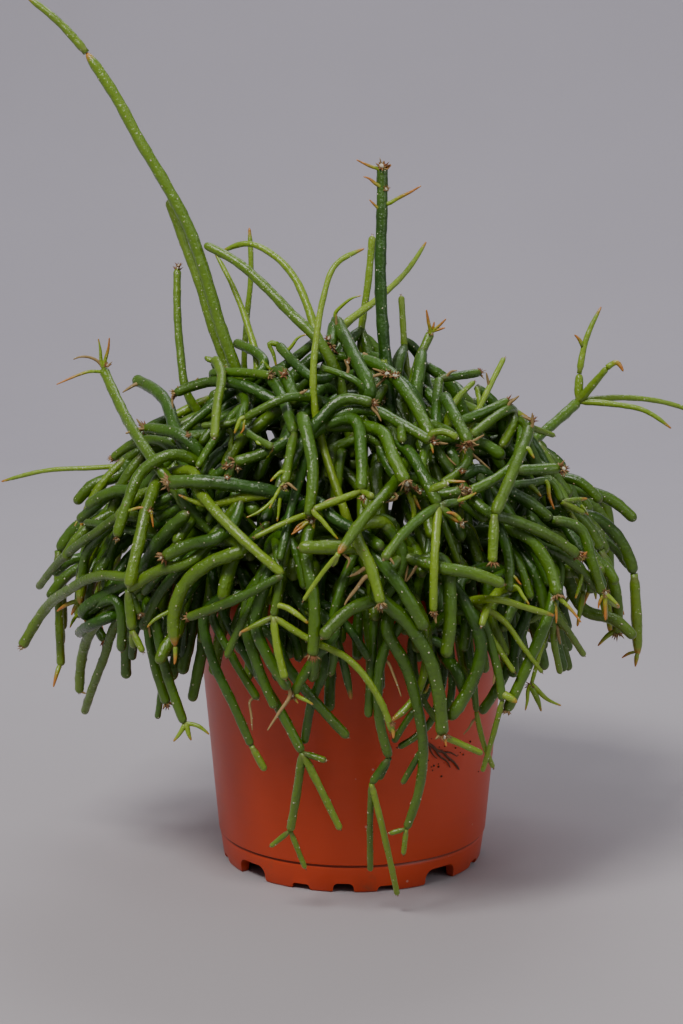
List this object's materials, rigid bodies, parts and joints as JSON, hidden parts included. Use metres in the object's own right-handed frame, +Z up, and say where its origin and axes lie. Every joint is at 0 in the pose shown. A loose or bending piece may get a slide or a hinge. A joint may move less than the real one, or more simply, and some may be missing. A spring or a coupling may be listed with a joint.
{
  "type": "potted mistletoe cactus",
  "caption": "Bushy mistletoe cactus with thin round arching stems spilling over the rim of a tapered plastic nursery pot filled with peat.",
  "frame": {"origin": "centre of the pot's foot on the floor, on the pot's axis, which is also the middle of the plant's spread", "axes": "+Z up along the pot's axis, -Y towards the side that the picture shows, +X to that side's right"},
  "size_m": [0.2737, 0.24, 0.3299],
  "materials": {
    "pot_plastic": "satin terracotta-coloured plastic",
    "soil_peat": "dark crumbly peat, matte",
    "stem_skin": "waxy green plant skin with a soft gloss"
  },
  "bodies": {
    "root": {"pot": "pot_plastic", "soil": "soil_peat", "shoot_01": "stem_skin", "shoot_02": "stem_skin", "shoot_03": "stem_skin", "shoot_04": "stem_skin", "shoot_05": "stem_skin", "shoot_06": "stem_skin", "shoot_07": "stem_skin", "shoot_08": "stem_skin", "shoot_09": "stem_skin", "shoot_10": "stem_skin", "shoot_11": "stem_skin", "shoot_12": "stem_skin", "shoot_13": "stem_skin", "shoot_14": "stem_skin", "shoot_15": "stem_skin", "shoot_16": "stem_skin", "shoot_17": "stem_skin", "shoot_18": "stem_skin", "shoot_19": "stem_skin", "shoot_20": "stem_skin", "shoot_21": "stem_skin", "shoot_22": "stem_skin", "shoot_23": "stem_skin", "shoot_24": "stem_skin", "shoot_25": "stem_skin", "shoot_26": "stem_skin", "shoot_27": "stem_skin", "shoot_28": "stem_skin", "shoot_29": "stem_skin", "shoot_30": "stem_skin", "shoot_31": "stem_skin", "shoot_32": "stem_skin"}
  },
  "joints": []
}
